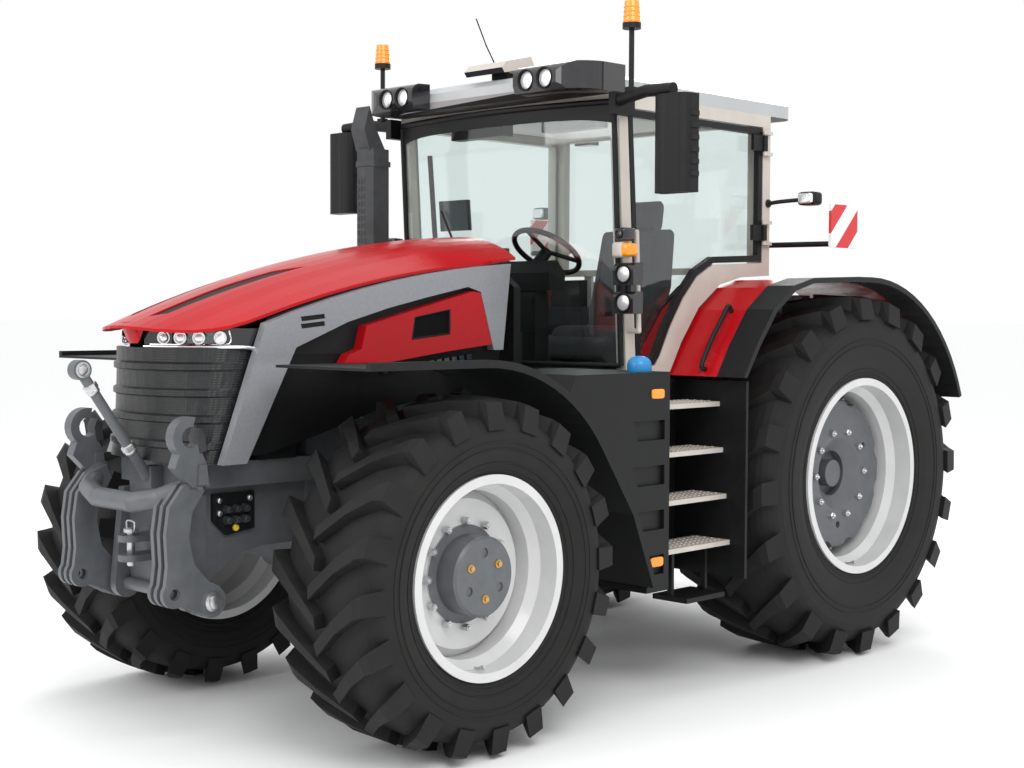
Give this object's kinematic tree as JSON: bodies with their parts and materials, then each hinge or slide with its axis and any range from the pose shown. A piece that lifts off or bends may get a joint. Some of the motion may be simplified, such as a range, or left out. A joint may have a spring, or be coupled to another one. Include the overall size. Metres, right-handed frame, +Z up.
{
  "type": "farm tractor",
  "caption": "Large four-wheel-drive farm tractor with a glazed cab, long red hood, lugged tyres, steered front axle, folding front linkage and rear three-point linkage.",
  "frame": {"origin": "on the ground plane, under the middle of the overall length and width", "axes": "+X forward along the hood, +Y to the driver's left, +Z up"},
  "size_m": [5.65, 2.836, 3.622],
  "materials": {
    "red_paint": "gloss red enamel",
    "silver_paint": "satin silver-grey enamel",
    "black_plastic": "moulded, fine grain",
    "grey_casting": "satin grey enamel over castings",
    "beige_paint": "satin beige enamel",
    "roof_plastic": "light grey, semi-gloss",
    "rim_paint": "gloss white enamel",
    "tyre": "matte black rubber",
    "glass": "clear, slightly green",
    "seat_cloth": "woven cloth, dark grey",
    "dark_steel": "dark grey heat-proof enamel",
    "amber": "clear amber",
    "lamp_black": "gloss black with clear lenses",
    "board": "red and white diagonal stripes"
  },
  "bodies": {
    "chassis": {"rear_transaxle": "grey_casting", "engine_block": "grey_casting", "front_frame": "grey_casting", "front_axle": "grey_casting", "radiator": "black_plastic", "cowl": "black_plastic", "tanks": "black_plastic", "front_fenders": "black_plastic", "step_housing": "black_plastic", "step_treads": "beige_paint", "rear_fenders": "red_paint", "fender_flares": "black_plastic", "cab_tub": "beige_paint", "cab_frame": "beige_paint", "cab_glass": "glass", "cab_roof": "roof_plastic", "work_lamps": "lamp_black", "seat": "seat_cloth", "driver_console": "black_plastic", "exhaust_stack": "dark_steel", "mirrors": "black_plastic", "beacons": "amber", "receiver": "beige_paint", "marker_board": "board", "hand_rails": "beige_paint", "rear_hitch": "grey_casting", "front_top_link": "grey_casting", "tow_clevis": "grey_casting"},
    "left_knuckle": {"front_left_knuckle": "grey_casting"},
    "right_knuckle": {"front_right_knuckle": "grey_casting"},
    "front_left_rolling": {"front_left_tyre": "tyre", "front_left_wheel": "rim_paint"},
    "front_right_rolling": {"front_right_tyre": "tyre", "front_right_wheel": "rim_paint"},
    "rear_left_rolling": {"rear_left_tyre": "tyre", "rear_left_wheel": "rim_paint"},
    "rear_right_rolling": {"rear_right_tyre": "tyre", "rear_right_wheel": "rim_paint"},
    "hood": {"hood_top": "red_paint", "hood_bands": "silver_paint", "hood_sides": "black_plastic", "vent_panels": "red_paint", "grille": "black_plastic", "headlamps": "lamp_black"},
    "door": {"door_frame": "black_plastic", "door_glass": "glass"},
    "front_lift": {"front_lift_arms": "grey_casting"},
    "rear_links": {"lower_links": "grey_casting"},
    "rear_arms": {"lift_arms": "grey_casting"},
    "rear_rods": {"lift_rods": "grey_casting"}
  },
  "joints": [
    {"name": "rear_left_spin", "type": "hinge", "parent": "chassis", "child": "rear_left_rolling", "pos_m": [-1.575, 1, 1.065], "axis": [0, 1, 0], "continuous": true},
    {"name": "rear_right_spin", "type": "hinge", "parent": "chassis", "child": "rear_right_rolling", "pos_m": [-1.575, -1, 1.065], "axis": [0, 1, 0], "continuous": true},
    {"name": "steer_left", "type": "hinge", "parent": "chassis", "child": "left_knuckle", "pos_m": [1.475, 0.86, 0.82], "axis": [0, 0, 1], "range_deg": [-35, 35]},
    {"name": "steer_right", "type": "hinge", "parent": "chassis", "child": "right_knuckle", "pos_m": [1.475, -0.86, 0.82], "axis": [0, 0, 1], "range_deg": [-35.5, 35.5]},
    {"name": "front_left_spin", "type": "hinge", "parent": "left_knuckle", "child": "front_left_rolling", "pos_m": [1.475, 1.025, 0.82], "axis": [0, 1, 0], "continuous": true},
    {"name": "front_right_spin", "type": "hinge", "parent": "right_knuckle", "child": "front_right_rolling", "pos_m": [1.475, -1.025, 0.82], "axis": [0, 1, 0], "continuous": true},
    {"name": "hood_open", "type": "hinge", "parent": "chassis", "child": "hood", "pos_m": [0.475, 0, 2.36777], "axis": [0, -1, 0], "range_deg": [0, 48]},
    {"name": "door_open", "type": "hinge", "parent": "chassis", "child": "door", "pos_m": [-1.175, 0.88, 2.7], "axis": [0, 0, 1], "range_deg": [0, 70]},
    {"name": "front_lift_fold", "type": "hinge", "parent": "chassis", "child": "front_lift", "pos_m": [2.387, 0, 0.72], "axis": [0, 1, 0], "range_deg": [0, 75]},
    {"name": "rear_lift", "type": "hinge", "parent": "chassis", "child": "rear_links", "pos_m": [-1.775, 0, 0.65], "axis": [0, 1, 0], "range_deg": [-12, 32]},
    {"name": "rear_arm_turn", "type": "hinge", "parent": "chassis", "child": "rear_arms", "pos_m": [-1.775, 0, 1.35], "axis": [0, 1, 0], "range_deg": [-12.5, 32.5]},
    {"name": "rear_rod_turn", "type": "hinge", "parent": "rear_arms", "child": "rear_rods", "pos_m": [-2.275, 0, 1.435], "axis": [0, 1, 0], "range_deg": [-32.5, 12.5]}
  ],
  "couplings": [
    {"joint": "steer_right", "follows": "steer_left", "ratio": 1},
    {"joint": "rear_arm_turn", "follows": "rear_lift", "ratio": 1},
    {"joint": "rear_rod_turn", "follows": "rear_lift", "ratio": -1}
  ]
}
